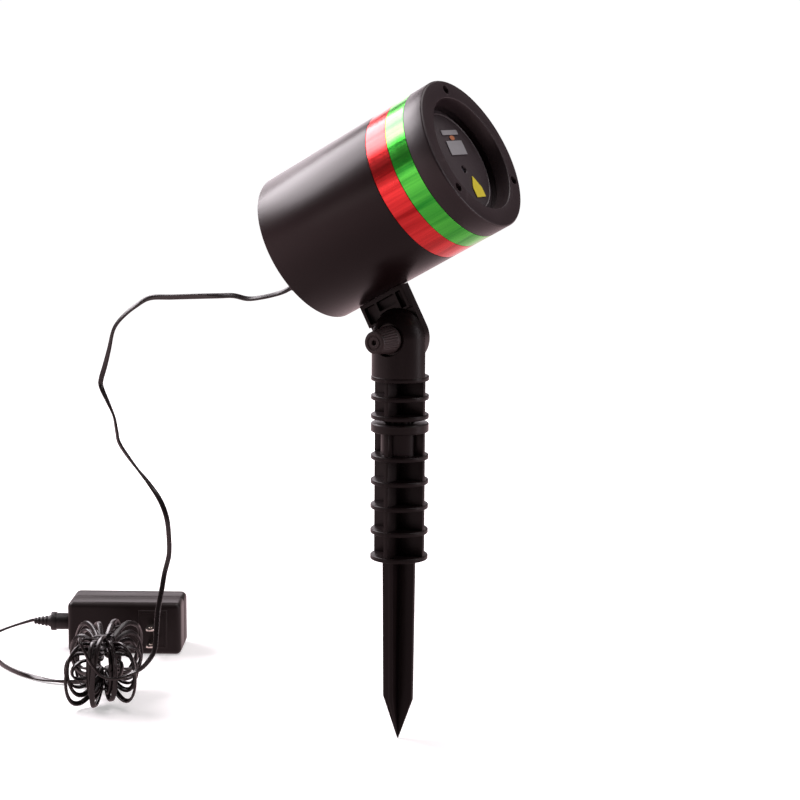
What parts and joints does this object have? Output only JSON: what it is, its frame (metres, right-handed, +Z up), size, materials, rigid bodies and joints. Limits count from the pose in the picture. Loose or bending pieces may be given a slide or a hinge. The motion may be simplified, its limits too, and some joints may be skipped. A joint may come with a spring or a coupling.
{
  "type": "outdoor laser light projector",
  "caption": "Outdoor laser light projector: a can on a tilting knuckle over a splined garden stake, with its lead, wound hank and plug-in adapter.",
  "frame": {"origin": "tip of the ground spike, which stands on the floor plane", "axes": "+Z up along the stake, +X the way the can points, -Y the side of the clamp knob"},
  "size_m": [0.4421, 0.1916, 0.4241],
  "materials": {
    "cord_jacket": "satin black PVC",
    "adapter_plastic": "satin black moulded shell",
    "flexible_black": "matte black flexible moulding",
    "seal_rubber": "matte black seal",
    "plated_prong": "nickel plated",
    "tan_board": "bare laminate",
    "transformer_grey": "taped winding",
    "green_board": "solder mask",
    "clear_window": "polished",
    "grating_film": "ruled film",
    "mirror_coating": "dichroic coating",
    "bare_aluminium": "machined",
    "module_brass": "turned",
    "green_foil": "glossy metallic foil",
    "red_foil": "glossy metallic foil",
    "silver_label": "satin blank sticker",
    "orange_label": "satin blank sticker",
    "yellow_label": "satin blank sticker",
    "can_paint": "satin dark brown paint",
    "steel_hardware": "bright zinc",
    "plate_black": "satin dark brown",
    "bezel_black": "satin dark brown",
    "cover_black": "matte black",
    "stake_plastic": "matte black with a faint warm tint"
  },
  "bodies": {
    "base": {"adapter_board": "tan_board", "adapter_case_back": "adapter_plastic", "adapter_case_front": "adapter_plastic", "adapter_prong_1": "plated_prong", "adapter_prong_2": "plated_prong", "adapter_strain_relief": "flexible_black", "adapter_transformer": "transformer_grey", "cord_drop": "cord_jacket", "cord_hank": "cord_jacket", "cord_tie": "flexible_black", "cord_tail": "cord_jacket", "neck_post": "stake_plastic", "stake": "stake_plastic"},
    "head": {"aperture_window": "clear_window", "arm": "stake_plastic", "arm_screw_1": "steel_hardware", "arm_screw_2": "steel_hardware", "bezel_screw_1": "steel_hardware", "bezel_screw_2": "steel_hardware", "bezel_screw_3": "steel_hardware", "board_screw_1": "steel_hardware", "board_screw_2": "steel_hardware", "board_screw_3": "steel_hardware", "clamp_nut": "steel_hardware", "combiner_mirror": "mirror_coating", "cord_gland": "flexible_black", "cord_lead": "cord_jacket", "driver_board": "green_board", "face_plate": "plate_black", "front_bezel": "bezel_black", "front_gasket": "seal_rubber", "gland_nut": "cover_black", "grating_disc": "grating_film", "green_band": "green_foil", "green_laser_module": "module_brass", "housing": "can_paint", "label_block": "silver_label", "label_house": "yellow_label", "label_oval": "orange_label", "label_strip": "silver_label", "optics_block": "bare_aluminium", "rear_cover": "cover_black", "rear_gasket": "seal_rubber", "rear_screw_1": "steel_hardware", "rear_screw_2": "steel_hardware", "rear_screw_3": "steel_hardware", "red_band": "red_foil", "red_laser_module": "module_brass", "switch_body": "cover_black", "switch_nut": "steel_hardware"},
    "button": {"power_button": "cover_black"},
    "washer": {"knob_washer": "steel_hardware"},
    "knob": {"knob": "stake_plastic", "clamp_bolt": "steel_hardware"}
  },
  "joints": [
    {"name": "head_tilt", "type": "hinge", "parent": "base", "child": "head", "pos_m": [0, 0, 0.2633], "axis": [0, -1, 0], "range_deg": [-92, 35]},
    {"name": "knob_travel", "type": "slide", "parent": "base", "child": "washer", "axis": [0, -1, 0], "range_m": [0, 0.003]},
    {"name": "knob_turn", "type": "hinge", "parent": "washer", "child": "knob", "pos_m": [0, 0, 0.2633], "axis": [0, -1, 0], "range_deg": [0, 1080]},
    {"name": "button_press", "type": "slide", "parent": "head", "child": "button", "axis": [0.8805, 0, 0.4741], "range_m": [0, 0.0015], "stiffness_N_per_m": 1500, "springref_m": -0.0005}
  ],
  "couplings": [
    {"joint": "knob_turn", "follows": "knob_travel", "rad_per_m": 6283.2}
  ]
}
